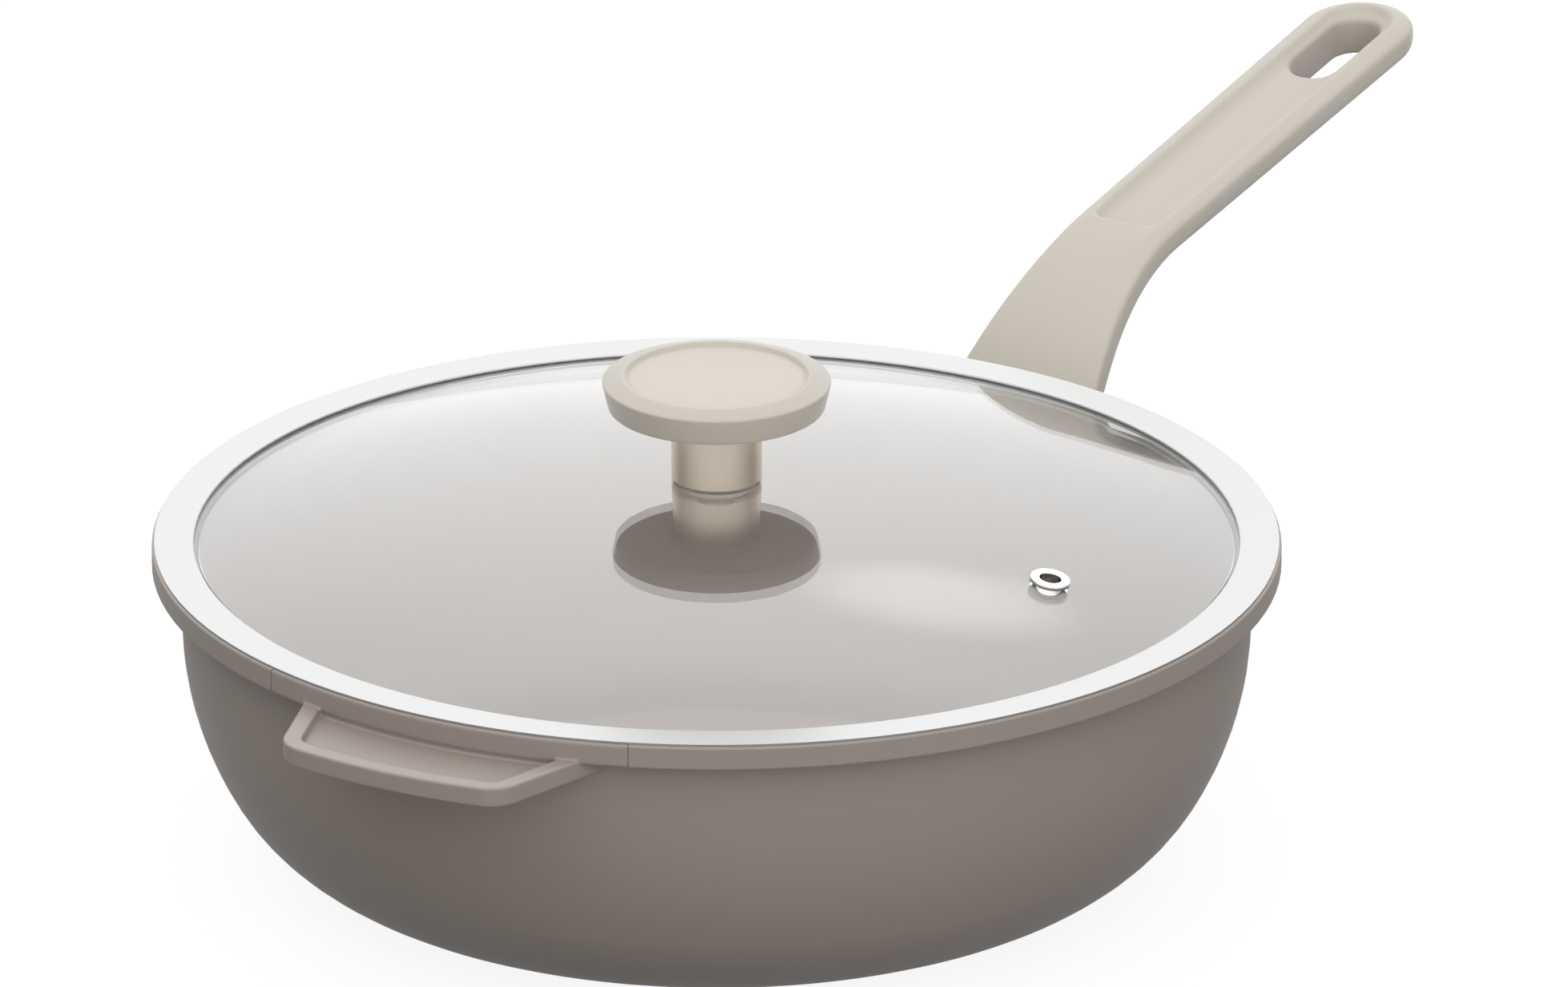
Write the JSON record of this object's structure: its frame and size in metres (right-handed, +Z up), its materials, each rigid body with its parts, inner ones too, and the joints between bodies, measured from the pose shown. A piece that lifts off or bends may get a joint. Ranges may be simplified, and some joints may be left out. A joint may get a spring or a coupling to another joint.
{
  "type": "frying pan",
  "caption": "Deep round frying pan with an overhanging lip, a bent long handle with a hang hole, a helper tab and a loose domed glass lid with a steel rim, vent and knob.",
  "frame": {"origin": "centre of the base's underside, on the surface that the pan stands on", "axes": "+X runs along the long handle, the helper tab is on -X, +Z is up, out of the lid's knob"},
  "size_m": [0.512, 0.288, 0.1312],
  "materials": {
    "coated_pan": "cast, with a matt mineral-look coating in warm taupe",
    "coated_tab": "cast, with the pan's matt taupe coating",
    "base_steel": "turned, with shallow rings",
    "cast_alloy": "as cast",
    "brass_insert": "turned",
    "handle_plastic": "soft-touch matt, warm pale beige",
    "knob_plastic": "soft-touch matt, warm pale beige",
    "screw_steel": "zinc plated",
    "rim_steel": "polished stainless sheet",
    "vent_chrome": "polished",
    "champagne_metal": "satin, champagne tone",
    "lid_glass": "clear, toughened",
    "silicone": "translucent pale silicone"
  },
  "bodies": {
    "pan": {"pan_body": "coated_pan", "induction_disc": "base_steel", "helper_tab": "coated_tab", "handle_bracket": "cast_alloy", "handle_bush": "brass_insert", "long_handle": "handle_plastic", "handle_washer": "screw_steel", "handle_screw": "screw_steel"},
    "lid": {"lid_rim": "rim_steel", "glass_seal": "silicone", "lid_glass": "lid_glass", "vent_seal": "silicone", "vent_eyelet": "vent_chrome", "vent_collar": "vent_chrome", "knob_foot": "silicone", "knob_sleeve": "champagne_metal", "knob_cap": "knob_plastic", "knob_bush": "brass_insert", "knob_seal": "silicone", "knob_washer": "screw_steel", "knob_screw": "screw_steel"}
  },
  "joints": [
    {"name": "lid_lift", "type": "slide", "parent": "pan", "child": "lid", "axis": [0, 0, 1], "range_m": [0, 0.16]}
  ]
}
